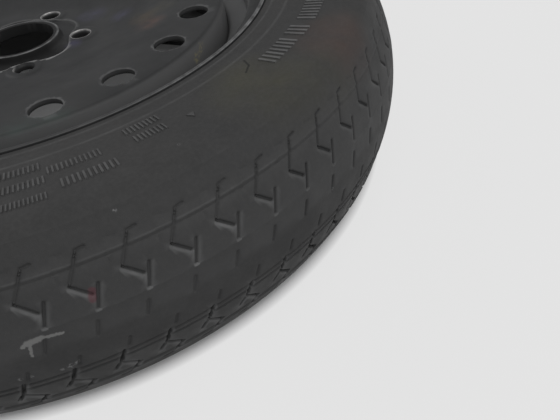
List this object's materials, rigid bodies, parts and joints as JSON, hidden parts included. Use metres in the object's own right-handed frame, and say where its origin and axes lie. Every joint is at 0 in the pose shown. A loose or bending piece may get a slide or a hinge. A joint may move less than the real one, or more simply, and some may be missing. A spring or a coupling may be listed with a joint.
{
  "type": "space saver spare wheel",
  "caption": "Narrow temporary spare wheel lying flat: black pressed steel wheel with round vents, fitted with a slim tyre with a zigzag tread and a snap-in valve.",
  "frame": {"origin": "centre of the hub mounting face, on the wheel's axis", "axes": "+Z along the wheel's axis, out of the outer face, which is up as the wheel lies flat; +X ten degrees before the first vent"},
  "size_m": [0.592, 0.592, 0.1304],
  "materials": {
    "tyre_rubber": "matte",
    "black_paint": "satin",
    "valve_rubber": "matte",
    "stem_brass": "satin",
    "seal_rubber": "matte",
    "core_steel": "satin",
    "cap_plastic": "matte"
  },
  "bodies": {
    "wheel": {"tyre": "tyre_rubber", "rim": "black_paint", "disc": "black_paint", "weld_beads": "black_paint", "valve_body": "valve_rubber", "valve_stem": "stem_brass", "core_plug": "stem_brass", "core_barrel": "stem_brass", "core_gasket": "seal_rubber", "core_spring": "core_steel"},
    "lifting_seal": {"cap_seal": "seal_rubber"},
    "turning_cap": {"valve_cap": "cap_plastic"},
    "pressed_pin": {"core_pin": "core_steel", "core_cup": "stem_brass", "cup_seal": "seal_rubber"}
  },
  "joints": [
    {"name": "cap_lift", "type": "slide", "parent": "wheel", "child": "lifting_seal", "axis": [0.2746, -0.0999, 0.9564], "range_m": [0, 0.00635]},
    {"name": "cap_turn", "type": "hinge", "parent": "lifting_seal", "child": "turning_cap", "pos_m": [-0.16087, 0.05855, 0.02135], "axis": [0.2746, -0.0999, 0.9564], "range_deg": [0, 3060]},
    {"name": "pin_press", "type": "slide", "parent": "wheel", "child": "pressed_pin", "axis": [-0.2746, 0.0999, -0.9564], "range_m": [0, 0.0012], "stiffness_N_per_m": 800, "deforming": ["core_spring"]}
  ],
  "couplings": [
    {"joint": "cap_turn", "follows": "cap_lift", "rad_per_m": 7915.8}
  ]
}
